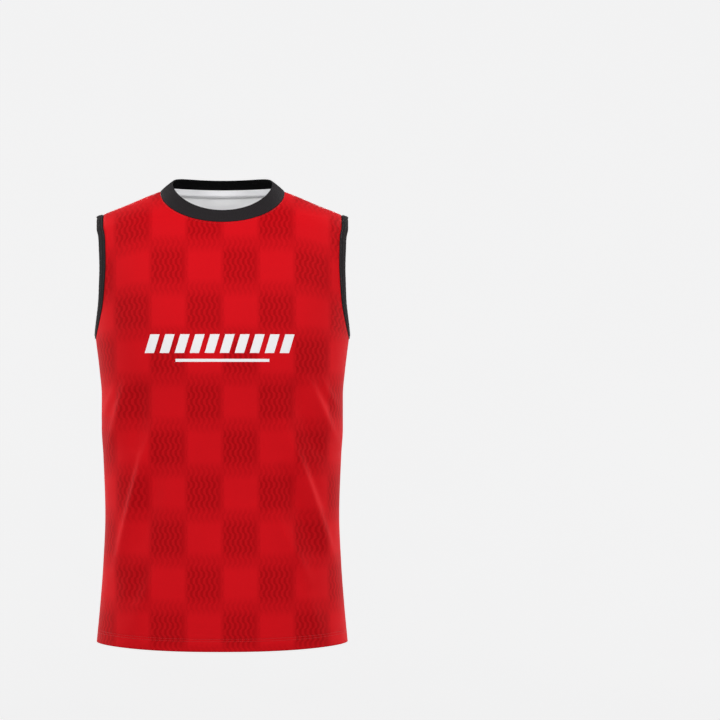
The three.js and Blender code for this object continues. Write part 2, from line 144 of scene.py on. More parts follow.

# %% [markdown]
# Folds tell the eye that this is light cloth. A real bib hangs from the chest and the shoulder
# blades, so its folds fan out down both sides of the front, and the back falls in swags between
# the hips. A cloth simulation could find such folds, but not these ones. So each is listed one by
# one: a soft ridge or trough along a bowed line, steeper on one side than the other.

# %% Fold tables in millimetres
# x0, z0 and x1, z1 are the ends; bow is how far the middle sags; width is where the fold has
# faded to a third; height is over (or under) the form; lean makes one flank steeper.
FRONT_FOLDS = [
    (-103, -345, -165, -590, 0, 9, 5, 0.3),
    (-144, -285, -172, -395, 0, 8, 3.2, 0.3),
    (-122, -290, -129, -398, 0, 13, -4.9, 0),
    (-90, -400, -127, -560, 0, 13, -3.2, 0),
    (90, -345, 172, -570, 0, 9, 5.5, -0.3),
    (126, -280, 172, -382, 0, 8, 3.5, -0.3),
    (106, -285, 150, -405, 6, 12, -4.2, 0),
    (76, -478, 134, -600, 0, 10, 3.5, -0.2),
    (86, -410, 142, -560, 0, 11, -4.6, 0),
    (-160, -292, -183, -350, 0, 6, 1.8, 0.2),
    (-118, -372, -160, -560, 4, 6, 1.2, 0.3),
    (-98, -560, -140, -676, 0, 14, 1.6, 0),
    (-116, -556, -134, -622, 0, 11, -2.6, 0),
    (150, -284, 176, -330, 3, 6, 1.8, 0),
    (110, -352, 158, -500, 8, 6, 1.2, -0.3),
    (120, -590, 150, -680, 0, 12, 1.6, 0),
    (-60, -300, -96, -420, 6, 18, -1.2, 0),
    (60, -296, 84, -430, 6, 18, -1.2, 0),
    (-40, -430, -62, -610, 0, 22, 1.1, 0),
    (30, -470, 52, -640, 0, 22, 1.1, 0),
]
BACK_FOLDS = [
    (178, -401, 100, -462, 0, 13, -4.5, 0),
    (160, -456, -5, -522, 8, 10, 5.5, 0.2),
    (120, -512, -34, -546, 13, 13, -7, 0),
    (-85, -497, -163, -420, 0, 11, -4.5, 0),
    (-40, -548, -158, -452, 9, 10, 5, 0.2),
    (-46, -572, -150, -484, 8, 12, -5.5, 0),
    (168, -500, 86, -655, 6, 11, -5, 0),
    (-160, -490, -72, -648, 3, 11, -5, 0),
    (52, -584, -34, -592, 18, 13, -4.5, 0),
    (-52, -390, -80, -426, 0, 12, -2.6, 0),
    (-98, -350, -122, -386, 0, 12, -2.6, 0),
    (112, -558, 84, -632, 0, 14, 2.4, 0),
    (-76, -566, -128, -524, 4, 9, 2.2, 0.2),
    (52, -652, -4, -656, 0, 16, 1.8, 0),
    (140, -580, 76, -668, 8, 10, 2.0, 0.2),
    (-134, -566, -60, -668, 8, 10, 2.0, 0.2),
    (24, -548, -30, -566, 4, 12, 2.2, 0),
    (-150, -300, -176, -380, 0, 9, 1.6, 0),
    (150, -300, 176, -380, 0, 9, 1.6, 0),
]


def fold_height(folds, x, z):
    """Sum over the folds of height * sin(pi * way along)^0.8 * exp(-(distance off / width)^2)."""
    total = np.zeros(np.shape(x))
    for x0, z0, x1, z1, bow, width, height, lean in folds:
        run_x, run_z = x1 - x0, z1 - z0
        length = math.hypot(run_x, run_z)
        along = np.clip(((x - x0) * run_x + (z - z0) * run_z) / length**2, 0, 1)
        off = ((x - x0) * run_z - (z - z0) * run_x) / length
        off = (off - math.copysign(bow, run_x) * 4 * along * (1 - along)) / width
        off = off * (1 + lean * np.tanh(off))
        total += height * np.sin(along * np.pi) ** 0.8 * np.exp(-(off**2))
    return total


# %% [markdown]
# A panel is a surface of two numbers: u runs from side to side (-1 to 1), and v runs up, from the
# hem (-1) past the underarm (0) to the neck and shoulder seams (1). Below the underarm the rows
# are level ovals. Above it they turn step by step into the shape of the top edge, while their
# ends follow the armhole. Anything sewn on later asks this same surface where to lie.

# %% The panel as a surface of (u, v)
FRONT = dict(
    faces=-1, depth_at=front_at, neck=-FRONT_NECK_DROP, roundness=1,
    armhole=57.0, powers=(0.85, 0.77), hem_drop=10, folds=FRONT_FOLDS,
)
BACK = dict(
    faces=1, depth_at=back_at, neck=-BACK_NECK_DROP, roundness=3,
    armhole=56.5, powers=(0.7, 0.85), hem_drop=19, folds=BACK_FOLDS,
)


def oval_shares(u, z):
    """Shares (across, deep) of the oval at even angles: sine and cosine over their own n-norm."""
    n = power_at(z)
    sine, cosine = np.sin(u * np.pi / 2), np.maximum(np.cos(u * np.pi / 2), 0)
    size = (sine**n + cosine**n) ** (1 / n)
    return sine / size, cosine / size


def reach_at(panel, x, z):
    """Distance in front of the side seam: depth * (1 - (x / half)^n)^(1 / n)."""
    n = power_at(z)
    across = np.minimum(1, np.abs(x) / half_at(z))
    return panel["depth_at"](z) * (1 - across**n) ** (1 / n)


def top_edge(panel, u):
    """The neck seam, x = half * sin(a) and z = neck * cos(a)^roundness, then the shoulder seam."""
    angle = (1 - (1 - np.minimum(u / NECK_SHARE, 1)) ** 1.3) * np.pi / 2
    seam_z = np.clip((u - NECK_SHARE) / (1 - NECK_SHARE), 0, 1) * ARMHOLE_TOP
    on_neck = u <= NECK_SHARE
    neck_z = panel["neck"] * np.cos(angle) ** panel["roundness"]
    x = np.where(on_neck, NECK_HALF_WIDTH * np.sin(angle), half_at(seam_z))
    return x, np.where(on_neck, neck_z, seam_z)


def armhole_edge(panel, w):
    """An oval seen from the side: z from the underarm to the shoulder, and
    reach = depth * sin(w * pi)^p, where p goes from the panel's first power to its second."""
    z = mix(UNDERARM, ARMHOLE_TOP, (1 - np.cos(w * np.pi)) / 2)
    reach = panel["armhole"] * np.maximum(np.sin(w * np.pi), 0) ** mix(*panel["powers"], w)
    n = power_at(z)
    deep = reach / panel["depth_at"](z)
    across = (1 - deep**n) ** (1 / n)
    return half_at(z) * across, z, np.arctan2(across, deep) / (np.pi / 2)


def hem_height(panel, side):
    """The hem hangs lowest in the middle: HEM - drop * (deep share of its oval)^2."""
    return HEM - panel["hem_drop"] * oval_shares(side, HEM)[1] ** 2


def place(panel, u, v):
    """Width, reach and height of the plain form at (u, v), each an array."""
    u, v = np.broadcast_arrays(np.asarray(u, float), np.asarray(v, float))
    side, w = np.abs(u), np.clip(v, 0, 1)
    low_z = mix(hem_height(panel, side), UNDERARM, 1 + np.minimum(v, 0))
    low_x = half_at(low_z) * oval_shares(side, low_z)[0]
    top_x, top_z = top_edge(panel, side)
    edge_x, edge_z, quarter = armhole_edge(panel, w)
    top_share = top_x / top_edge(panel, 1.0)[0]
    slowing = 0.9 * w + 1.05 * w**2 - 0.95 * w**3
    rise = mix(w, slowing, smoothstep(0.25, 0.6, side))
    side_rise = (edge_z - UNDERARM) / (ARMHOLE_TOP - UNDERARM)
    oval_share = oval_shares(side * quarter, edge_z)[0] / oval_shares(quarter, edge_z)[0]
    high_x = edge_x * mix(oval_share, top_share, smoothstep(0, 1, w))
    high_z = mix(UNDERARM, top_z, mix(rise, side_rise, side**3))
    x, z = np.where(v < 0, low_x, high_x), np.where(v < 0, low_z, high_z)
    on_seam = (side >= 1) & ((z >= ARMHOLE_TOP) | (z <= UNDERARM))
    return np.sign(u) * x, np.where(on_seam, 0, reach_at(panel, x, z)), z


def unit(vectors):
    """Each vector over its own length."""
    return vectors / np.linalg.norm(vectors, axis=-1, keepdims=True)


def outward_at(panel, x, reach, z):
    """Direction in which (x / half)^n + (reach / depth)^n grows fastest."""

    def total(height):
        n = power_at(height)
        return (np.abs(x) / half_at(height)) ** n + (reach / panel["depth_at"](height)) ** n

    n = power_at(z)
    across = n * np.abs(x) ** (n - 1) / half_at(z) ** n
    forward = n * reach ** (n - 1) / panel["depth_at"](z) ** n
    up = total(z + 0.5) - total(z - 0.5)
    return unit(np.stack([np.sign(x) * across, panel["faces"] * forward, up], axis=-1))


def cloth_at(panel, u, v, out=0.0):
    """Points on the folded cloth, `out` mm off its outer face, and the outward directions there."""
    x, reach, z = place(panel, u, v)
    outward = outward_at(panel, x, reach, z)
    folds = fold_height(panel["folds"], x, z) * (1 - np.abs(u) ** 8)
    plain = np.stack([x, panel["faces"] * (reach + PANEL_GAP / 2), z], axis=-1)
    return plain + outward * (folds + out)[..., None], outward


chest, _ = cloth_at(FRONT, 0.0, 0.0)
print("the cloth at the middle of the chest, mm:", np.round(chest, 1))

# %% [markdown]
# Meshes are filled straight from arrays. Quads of a grid join each point to its neighbours, the
# sign of the enclosed volume shows which way the faces turn, and a UV map carries the place on
# the flat cloth in metres, so that print and knit keep their real size. Most pieces are skins: an
# outer and an inner face on the same grid, joined by a rim.

# %% Mesh helpers
def way_along(points, axis=0):
    """Length of the path from the first point to each one, along one axis of an array of points."""
    steps = np.linalg.norm(np.diff(points, axis=axis), axis=-1)
    return np.cumsum(np.insert(steps, 0, 0, axis=axis), axis=axis)


def read_off(wanted, way, values):
    """Vectors at the wanted places of a way, on straight lines between the given ones."""
    return np.stack([np.interp(wanted, way, values[:, k]) for k in range(3)], axis=-1)


def grid_quads(rows, columns, wrap_rows=False, wrap_columns=False):
    """Corner numbers of every quad of a grid whose points are numbered row by row."""
    i = np.arange(rows if wrap_rows else rows - 1)[:, None]
    j = np.arange(columns if wrap_columns else columns - 1)[None, :]
    below, above = i * columns, ((i + 1) % rows) * columns
    here, there = j, (j + 1) % columns
    return np.stack([below + here, below + there, above + there, above + here], -1).reshape(-1, 4)


def signed_volume(points, quads):
    """A sixth of the sum of a . ((b - d) x c) over the quads abcd of a closed skin."""
    a, b, c, d = (points[quads[:, k]] for k in range(4))
    return (a * np.cross(b - d, c)).sum() / 6


def piece_from(name, points, quads, uv, materials, slot_of=None):
    """A piece at the origin with smooth faces that point outwards. Points are in millimetres."""
    if signed_volume(points, quads) < 0:
        quads = quads[:, ::-1]
    mesh = bpy.data.meshes.new(name)
    mesh.vertices.add(len(points))
    mesh.vertices.foreach_set("co", (points * MM).ravel())
    mesh.loops.add(quads.size)
    mesh.loops.foreach_set("vertex_index", quads.ravel())
    mesh.polygons.add(len(quads))
    mesh.polygons.foreach_set("loop_start", np.arange(0, quads.size, 4))
    mesh.polygons.foreach_set("loop_total", np.full(len(quads), 4))
    mesh.polygons.foreach_set("use_smooth", np.ones(len(quads), bool))
    if slot_of is not None:
        mesh.polygons.foreach_set("material_index", slot_of.astype(np.int32))
    layer = mesh.uv_layers.new(name="cloth")
    layer.data.foreach_set("uv", uv[quads.ravel()].ravel())
    mesh.update(calc_edges=True)
    mesh.validate()
    for material in materials:
        mesh.materials.append(material)
    piece = bpy.data.objects.new(name, mesh)
    bpy.context.scene.collection.objects.link(piece)
    return piece


def skin_piece(name, outer, inner, uv, materials, inner_slot=0):
    """Two grids of one size joined all round. `inner_slot` is the inner quads' material number."""
    rows, columns, _ = outer.shape
    count = rows * columns
    quads = grid_quads(rows, columns)
    ring = np.concatenate([
        np.arange(columns),
        np.arange(1, rows) * columns + columns - 1,
        (rows - 1) * columns + np.arange(columns - 1)[::-1],
        np.arange(1, rows - 1)[::-1] * columns,
    ])
    following = np.roll(ring, -1)
    rim = np.stack([ring, ring + count, following + count, following], axis=-1)
    faces = np.concatenate([quads, quads[:, ::-1] + count, rim])
    slots = np.zeros(len(faces))
    slots[len(quads) : 2 * len(quads)] = inner_slot
    points = np.concatenate([outer.reshape(-1, 3), inner.reshape(-1, 3)])
    return piece_from(name, points, faces, np.tile(uv.reshape(-1, 2), (2, 1)), materials, slots)


# %% [markdown]
# Materials are sums written out in nodes. A small class wraps one socket and lets Python's own
# operators add the Math nodes, so a knitted loop or a printed line reads as its formula.

# %% Writing materials as formulas
def math_method(operation):
    """A method that adds one Math node, fed by its own wire and any other wires or numbers."""
    return lambda wire, *others: wire.math(operation, wire, *others)


class Wire:
    """One output socket of a material. Arithmetic on wires and numbers adds Math nodes."""

    def __init__(self, tree, socket=None):
        self.tree, self.socket = tree, socket

    def node(self, kind, inputs, output=0, **settings):
        """Adds any node: its settings first, then numbers or wires on its inputs."""
        made = self.tree.nodes.new("ShaderNode" + kind)
        for name, value in settings.items():
            setattr(made, name, value)
        for key, value in inputs.items():
            if isinstance(value, Wire):
                self.tree.links.new(value.socket, made.inputs[key])
            else:
                made.inputs[key].default_value = value
        return Wire(self.tree, made.outputs[output])

    def math(self, operation, *values):
        return self.node("Math", dict(enumerate(values)), operation=operation)

    def __rsub__(self, other):
        return self.math("SUBTRACT", other, self)

    __add__ = __radd__ = math_method("ADD")
    __mul__ = __rmul__ = math_method("MULTIPLY")
    __sub__, __truediv__ = math_method("SUBTRACT"), math_method("DIVIDE")
    __mod__, __lt__ = math_method("FLOORED_MODULO"), math_method("LESS_THAN")
    least, most = math_method("MINIMUM"), math_method("MAXIMUM")
    floor, sine, size = math_method("FLOOR"), math_method("SINE"), math_method("ABSOLUTE")

    def smooth(self, low, high):
        """0 below low and 1 above high, with a soft step between."""
        inputs = {"Value": self, "From Min": low, "From Max": high}
        return self.node("MapRange", inputs, interpolation_type="SMOOTHSTEP")

    def colours(self, none, full):
        """The colour `none` where this wire is 0 and `full` where it is 1."""
        return self.node("Mix", {0: self, 6: none, 7: full}, output=2, data_type="RGBA")

    def shaded(self, tone):
        """This colour times a tone."""
        grey = self.node("CombineXYZ", {0: tone, 1: tone, 2: tone})
        settings = {"data_type": "RGBA", "blend_type": "MULTIPLY"}
        return self.node("Mix", {0: 1.0, 6: self, 7: grey}, output=2, **settings)

    def raised(self, distance, strength, **normal):
        """A bump of this wire times a distance in metres, over the bump `Normal` if it is given."""
        inputs = {"Height": self, "Distance": distance, "Strength": strength}
        return self.node("Bump", inputs | normal)


def new_material(name, **constants):
    """An empty Principled material, and a wire to start its formulas from."""
    material = bpy.data.materials.new(name)
    material.use_nodes = True
    shader = material.node_tree.nodes["Principled BSDF"]
    for key, value in constants.items():
        shader.inputs[key.replace("_", " ")].default_value = value
    return material, shader, Wire(material.node_tree)


def feed(shader, **wires):
    """Links wires to the shader's sockets."""
    for key, wire in wires.items():
        wire.tree.links.new(wire.socket, shader.inputs[key.replace("_", " ")])


def flat_place(start):
    """Place on the flat cloth in millimetres, across and up, from the UV map."""
    uv = start.node("UVMap", {}, uv_map="cloth")
    across = start.node("SeparateXYZ", {0: uv}, output=0)
    up = start.node("SeparateXYZ", {0: uv}, output=1)
    return across * 1000, up * 1000


def noise(start, scale, detail):
    """Soft noise over the piece's own space, about `scale` patches to a metre."""
    place_now = start.node("TexCoord", {}, output="Object")
    return start.node("TexNoise", {"Vector": place_now, "Scale": scale, "Detail": detail})


def knit_loops(across, up, wale, course):
    """Height of a plain knit: V-shaped loops, a wale wide and a course high."""
    arm = (across * (2 * math.pi / wale)).sine().size()
    rise = ((up / course + arm * 0.5) * (2 * math.pi)).sine() * 0.5 + 0.5
    return rise * 0.6 + arm * 0.4


# %% [markdown]
# The outer cloth is white polyester that was printed red before it was cut. The print is a check
# of plain cells and cells of wavy upright lines, which fade into each other at their edges. On
# the chest there is a plain device of slanted white bars. Drawn as formulas, the print stays
# sharp from close by. The knit under it is so fine that it shows only as a soft grain.

# %% Printed red knit
CELL_WIDE, CELL_HIGH, FIRST_ROW = 54.0, 68.0, -14.0
LINE_SPACING, WAVE_HIGH, WAVE_SWING = 7.75, 19.1, 1.8
FADE_UP, FADE_ACROSS = 18.0, 4.5  # how far inside a cell's edge its ink is complete
LINES_END, CELL_END = 0.78, 0.98  # shares of a cell's width over which its lines die out
GROUND_INK, LINE_INK, BLANK_INK = 0.44, 0.54, 0.66  # under the lines, on them too, and beside them
PLAIN_RED = (0.62, 0.0046, 0.0092, 1)
DARK_RED = (0.385, 0.0016, 0.0040, 1)
INK_WHITE = (0.86, 0.86, 0.87, 1)
BARS_AT, BARS_HALF_RUN, BAR_HALF_HIGH = -233.0, 112.0, 14.0
BAR_STEP, BAR_WIDE, BAR_LEAN = 22.4, 14.0, 0.3
LINE_AT, LINE_HALF_RUN, LINE_HALF_HIGH = -258.0, 70.0, 2.2
WALE, COURSE, LOOP_RELIEF = 1.25, 0.95, 0.00006  # a knitted loop in mm, its relief in metres


def check_print(across, up, phase):
    """Share of dark ink: half on a cell's edge, none in a plain cell, all in a lined one. The lines
    are sin(2 pi (across + swing) / spacing), where the swing is a sine with its ends cut off."""
    column, row = across / CELL_WIDE, (up - FIRST_ROW) / CELL_HIGH
    lined = (column.floor() + row.floor() + phase) % 2
    over, along = column % 1, row % 1
    whole_up = (along.least(1 - along) * CELL_HIGH).smooth(0.0, FADE_UP)
    whole_across = (over.least(1 - over) * CELL_WIDE).smooth(0.0, FADE_ACROSS)
    strength = (lined * 2 - 1) * whole_up * whole_across * 0.5 + 0.5
    sway = (up * (2 * math.pi / WAVE_HIGH)).sine() * 0.75 + 0.5
    swing = (sway.smooth(0.0, 1.0) * 2 - 1) * WAVE_SWING
    wave = ((across + swing) * (2 * math.pi / LINE_SPACING)).sine() * 0.5 + 0.5
    lines = wave.smooth(0.1, 0.9) * LINE_INK + GROUND_INK
    blank = over.smooth(LINES_END, CELL_END)
    return strength * ((1 - blank) * lines + blank * BLANK_INK)


def chest_device(across, up):
    """Slanted bars of one height side by side, with a thin line below them."""
    over_bars = up - BARS_AT
    lean = across - over_bars * BAR_LEAN
    in_run, in_height = lean.size() < BARS_HALF_RUN, over_bars.size() < BAR_HALF_HIGH
    bars = in_run * in_height * (lean % BAR_STEP < BAR_WIDE)
    line = (across.size() < LINE_HALF_RUN) * ((up - LINE_AT).size() < LINE_HALF_HIGH)
    return bars.most(line)


def printed_knit(name, phase, with_device):
    """The print over a fine knit, whose dye is a little uneven both slowly and finely."""
    material, shader, start = new_material(
        name,
        Roughness=0.62,
        Specular_IOR_Level=0.09,
        Specular_Tint=(1.0, 0.25, 0.27, 1),
        Sheen_Weight=0.04,
        Sheen_Roughness=0.45,
        Sheen_Tint=(1.0, 0.10, 0.12, 1),
    )
    across, up = flat_place(start)
    dye, grain = noise(start, 9.0, 3.0), noise(start, 420.0, 2.0)
    ink = check_print(across, up, phase).colours(PLAIN_RED, DARK_RED)
    ink = ink.shaded((dye - 0.5) * 0.10 + (grain - 0.5) * 0.10 + 1.0)
    roughness = 0.60 + (grain - 0.5) * 0.12
    if with_device:
        device = chest_device(across, up)
        ink = device.colours(ink, INK_WHITE)
        roughness = roughness - device * 0.12
    drape = noise(start, 26.0, 3.0).raised(0.0022, 0.35)
    relief = knit_loops(across, up, WALE, COURSE).raised(LOOP_RELIEF, 0.6, Normal=drape)
    feed(shader, Base_Color=ink, Roughness=roughness, Normal=relief)
    return material


front_print = printed_knit("printed_knit_front", 1.0, True)
back_print = printed_knit("printed_knit_back", 0.0, False)
print("cells of the check, mm:", CELL_WIDE, CELL_HIGH, "lines every", LINE_SPACING)

# %% [markdown]
# Inside, the same knit was never printed: it is nearly white, with painted shade between its loops.
# The neck rib, the armhole bindings, the neck tape and the threads get their own yarns. The
# inside of the rib is a darker copy of its black yarn, which is painted shade in the collar.

# %% Plain cloths and threads
def plain_cloth(name, colour, shade, wale, course, relief, **constants):
    """A knit of one yarn: between the loops its colour goes down to `shade` of itself, which is
    painted shade.
    """
    material, shader, start = new_material(name, **constants)
    across, up = flat_place(start)
    loops = knit_loops(across, up, wale, course)
    fluff, broad = noise(start, 300.0, 3.0), noise(start, 14.0, 2.0)
    # dark is the yarn's colour in painted shade where the loops dip; the fluff noise only varies
    # its tone
    dark = tuple(c * shade for c in colour) + (1,)
    yarn = (loops * 0.7 + fluff * 0.3).colours(dark, colour + (1,))
    feed(shader, Base_Color=yarn.shaded((broad - 0.5) * 0.12 + 1.0),
         Roughness=0.8 + (fluff - 0.5) * 0.2,
         Normal=(loops + fluff * 0.4).raised(relief, 0.7))
    return material


# The number after each colour is how far the painted shade between the loops darkens that yarn.
inside_white = plain_cloth("unprinted_inside", (0.95, 0.95, 0.955), 0.97, WALE, COURSE, LOOP_RELIEF,
                           Specular_IOR_Level=0.2, Sheen_Weight=0.1)
rib_black = plain_cloth("black_rib_yarn", (0.0200, 0.0172, 0.0190), 0.6, 1.3, 0.9, 0.0001,
                        Specular_IOR_Level=0.1, Sheen_Weight=0.02)
# The rib's inside is the same black yarn in life; this much darker copy of it is painted shade.
rib_painted_shade = plain_cloth("black_rib_inside", (0.0025, 0.0025, 0.0028), 0.7, 1.3, 0.9, 0.0001,
                         Specular_IOR_Level=0.04)
binding_black = plain_cloth("black_binding_knit", (0.0180, 0.0152, 0.0162), 0.65, 1.1, 0.8, 0.00008,
                            Specular_IOR_Level=0.1, Sheen_Weight=0.02)
tape_white = plain_cloth("white_twill_tape", (0.86, 0.86, 0.88), 0.9, 0.9, 0.6, 0.0001,
                         Specular_IOR_Level=0.25)


def thread(name, colour):
    """Sewing thread: its plies give it fine specks of light and shade."""
    material, shader, start = new_material(name, Specular_IOR_Level=0.4)
    ply = noise(start, 1800.0, 1.0)
    dark = tuple(c * 0.7 for c in colour) + (1,)
    feed(shader, Base_Color=ply.colours(dark, colour + (1,)), Roughness=ply * 0.2 + 0.5,
         Normal=ply.raised(0.00008, 0.6))
    return material


red_thread = thread("red_thread", (0.62, 0.012, 0.018))
black_thread = thread("black_thread", (0.03, 0.028, 0.03))
white_thread = thread("white_thread", (0.8, 0.8, 0.8))
print("materials:", [material.name for material in bpy.data.materials])

# %% [markdown]
# Each panel is one closed skin: an outer face, an inner face a cloth's thickness below it, and a
# rim. Near a seam the outer face dips, because two raw edges are turned in there. At the hem the
# cloth is folded up inside and held by two rows of stitches that pull it in a little, and the
# fold is round.

# %% Front and back panels
SIDE_STEPS = np.array([0.0015, 0.004, 0.008, 0.014])  # shares of a half panel, close to its edges
HALF_COLUMNS, ROWS_BELOW, ROWS_ABOVE = 92, 128, 74
STITCH_ROWS = (15.5, 19.0)  # heights of the two rows of hem stitches over the edge
SIDE_DIP, TOP_DIP = (0.55, 1.3), (0.5, 1.4)  # how deep a hump is and how far it reaches, in mm
STITCH_PULL, PUCKER, PUCKER_AT = (0.28, 1.1), (0.16, 7.0), 17.0


def fine_columns():
    """Values of u, even but for a few close to the side edges."""
    inside = np.linspace(0, 1 - 0.02, HALF_COLUMNS)
    half = np.concatenate([inside, 1 - SIDE_STEPS[::-1], [1.0]])
    return np.concatenate([-half[:0:-1], half])


def fine_rows():
    """Values of v, closer together at the hem and at the top edge."""
    way = UNDERARM - HEM
    hem = np.array([0, 0.25, 0.6, 1.1, 2, 4, 6.5, 9, 11, 13, 14.2, 15.5, 16.8, 18, 19, 20, 21.5,
                    23, 25])
    below = np.linspace(hem[-1] + 2.5, way, ROWS_BELOW)[:-1]
    above = np.linspace(0, 1 - 0.012, ROWS_ABOVE)
    close = 1 - np.array([0.008, 0.0045, 0.002, 0.0])
    return np.concatenate([hem / way - 1, below / way - 1, above, close])


def hump(way, size):
    """height * exp(-(way / reach)^2)."""
    height, reach = size
    return height * np.exp(-((way / reach) ** 2))


def flat_map(x, reach, z):
    """Place on the printed cloth. Across grows by the larger of |dx| and 0.85 of the way along
    the row, and up likewise by height or 0.85 of the way along the column, so that the print lies
    square on the chest and still wraps round the sides and over the shoulders."""
    dx, dy = np.diff(np.abs(x), axis=1), np.diff(reach, axis=1)
    wrapped = np.maximum(np.abs(dx), 0.85 * np.hypot(dx, dy))
    high = smoothstep(UNDERARM - 20, UNDERARM + 110, (z[:, 1:] + z[:, :-1]) / 2)
    grow = mix(wrapped, np.abs(dx), high)
    middle = x.shape[1] // 2
    run = np.pad(np.cumsum(grow, axis=1), ((0, 0), (1, 0)))
    across = run - run[:, middle : middle + 1]
    dz, dy = np.diff(z, axis=0), np.diff(reach, axis=0)
    extra = np.maximum(np.abs(dz), 0.85 * np.hypot(dz, dy)) - np.abs(dz)
    extra = np.where((z[1:] + z[:-1]) / 2 > UNDERARM, extra, 0)
    up = z + np.pad(np.cumsum(extra, axis=0), ((1, 0), (0, 0)))
    return np.stack([across, up], axis=-1) * MM


def panel_piece(name, panel, materials):
    """A closed skin on the panel's surface, with dips at the seams and a rounded, stitched hem."""
    u, v = fine_columns()[None, :], fine_rows()[:, None]
    x, reach, z = place(panel, u, v)
    points, outward = cloth_at(panel, u, v)
    from_left, from_hem = way_along(points, 1), way_along(points, 0)
    from_side = np.minimum(from_left, from_left[:, -1:] - from_left)
    dip = hump(from_side, SIDE_DIP) + hump(from_hem[-1:] - from_hem, TOP_DIP)
    over_hem, run = z - z[:1], x - x[:, :1]
    pull = sum(hump(over_hem - row, STITCH_PULL) for row in STITCH_ROWS)
    waves = np.sin(run / 3.1) + 0.6 * np.sin(run / 1.9 + 2.0)
    pucker = hump(over_hem - PUCKER_AT, PUCKER) * waves
    edge = HEM_CLOTH / 2
    fold_round = edge - np.sqrt(np.maximum(edge**2 - np.maximum(edge - over_hem, 0) ** 2, 0))
    wall = mix(HEM_CLOTH, CLOTH, smoothstep(HEM_TURN, HEM_TURN + 1.5, over_hem))
    outer = points + outward * (pucker - dip - pull - fold_round)[..., None]
    inner = points + outward * (pucker - dip * 0.4 - wall + fold_round)[..., None]
    uv = flat_map(x, reach, z)
    inner_slot = np.where(over_hem[:-1, :-1] < HEM_TURN, 0, 1).ravel()
    piece = skin_piece(name, outer, inner, uv, materials, inner_slot)
    flat_size = np.ptp(uv, axis=(0, 1)).round(3)
    print(name, len(piece.data.polygons) * 2, "triangles; on the flat", flat_size, "m")
    return piece


front_cloth = panel_piece("front_cloth", FRONT, [front_print, inside_white])
back_cloth = panel_piece("back_cloth", BACK, [back_print, inside_white])

# %% [markdown]
# The neck rib and the bindings are bands carried round a loop. The loop is the panels' own edge,
# so they meet the cloth all the way round. At each stop there are two directions: out of the cloth,
# and off the edge into the opening.

# %% Loops along the panels' edges
def even_loop(front_edge, back_edge, stops, towards):
    """Joins two edges that share their ends into a loop of evenly spaced stops. Gives for each
    stop its place, the directions out and off the edge, and its way round; then the whole way."""

    def joined(a, b):
        ends = (a[[0, -1]] + b[[0, -1]]) / 2
        return np.concatenate([ends[:1], a[1:-1], ends[1:], b[-2:0:-1]])

    at, outward = (joined(a, b) for a, b in zip(front_edge, back_edge))
    at, outward = (np.concatenate([values, values[:1]]) for values in (at, outward))
    way = way_along(at)
    wanted = np.linspace(0, way[-1], stops, endpoint=False)
    at, outward = read_off(wanted, way, at), unit(read_off(wanted, way, outward))
    along = unit(np.roll(at, -1, axis=0) - np.roll(at, 1, axis=0))
    off = unit(np.cross(along, outward))
    off *= np.sign(((towards - at) * off).sum(axis=1, keepdims=True))
    return at, outward, off, wanted, way[-1]


def band_piece(name, rings, run, rise, materials, slot_of=None):
    """A closed band from a (stops, outline, 3) array; run and rise are its flat place in mm."""
    stops, corners, _ = rings.shape
    quads = grid_quads(stops, corners, wrap_rows=True, wrap_columns=True)
    uv = np.stack(np.broadcast_arrays(run[:, None], rise[None, :]), axis=-1) * MM
    slots = None if slot_of is None else np.tile(slot_of, stops)
    return piece_from(name, rings.reshape(-1, 3), quads, uv.reshape(-1, 2), materials, slots)


# %% [markdown]
# The rib is a folded strip of one-by-one rib knit, sewn on with its fold upwards. Its wales run
# up the band, so they are real ridges here: from close by, the edge of the neck shows them too.
# The band leans in towards the neck and swells a little between its edges.

# %% Neck rib
RIBS, STOPS_PER_RIB, RIB_RELIEF = 208, 6, 0.16
SIDE_POINTS, ROLL_POINTS = 13, 7  # points up one side of the band and round its fold
RIB_HIGH = 18  # mean height of the band, for its flat map
RISE_SIDE, RISE_FRONT, RISE_BACK = 12, 17.7, 21.3  # height of the fold over the seam
KEPT_WIDE, KEPT_FRONT, KEPT_BACK = 0.815, 0.87, 0.92  # shares of the seam's size left at the fold
BULGE_SIDE, BULGE_MIDDLE = 1.2, 0.8
OVER_NECK = np.array([0, 0, 42.6])
neck_u = np.linspace(-NECK_SHARE, NECK_SHARE, 241)
neck_edges = [cloth_at(panel, neck_u, 1.0) for panel in (FRONT, BACK)]
at, outward, off, run, neck_length = even_loop(*neck_edges, RIBS * STOPS_PER_RIB, OVER_NECK)
forward = at[:, 1] < 0
neck_depth = np.where(forward, front_at(-FRONT_NECK_DROP), back_at(-BACK_NECK_DROP))
facing = np.minimum(np.abs(at[:, 1]) / neck_depth, 1)
kept_deep = np.where(forward, KEPT_FRONT, KEPT_BACK)
top = at * np.stack([np.full(len(at), KEPT_WIDE), kept_deep, np.ones(len(at))], axis=-1)
top[:, 2] += np.where(
    forward,
    mix(RISE_SIDE, RISE_FRONT, 1 - (1 - facing) ** 2),
    mix(RISE_SIDE, RISE_BACK, 1 - (1 - facing) ** 3),
)
foot = at + off * SEAM_GAP
height = np.linalg.norm(top - foot, axis=1, keepdims=True)
upward = (top - foot) / height
swell = outward * mix(BULGE_SIDE, BULGE_MIDDLE, facing**2)[:, None]
ridge = RIB_RELIEF * np.cos(run / neck_length * RIBS * 2 * np.pi)[:, None]


def band_face(s):
    """Foot + up * s, with a swell of 4 s (1 - s) between the two edges."""
    return foot + upward * height * s + swell * 4 * s * (1 - s)


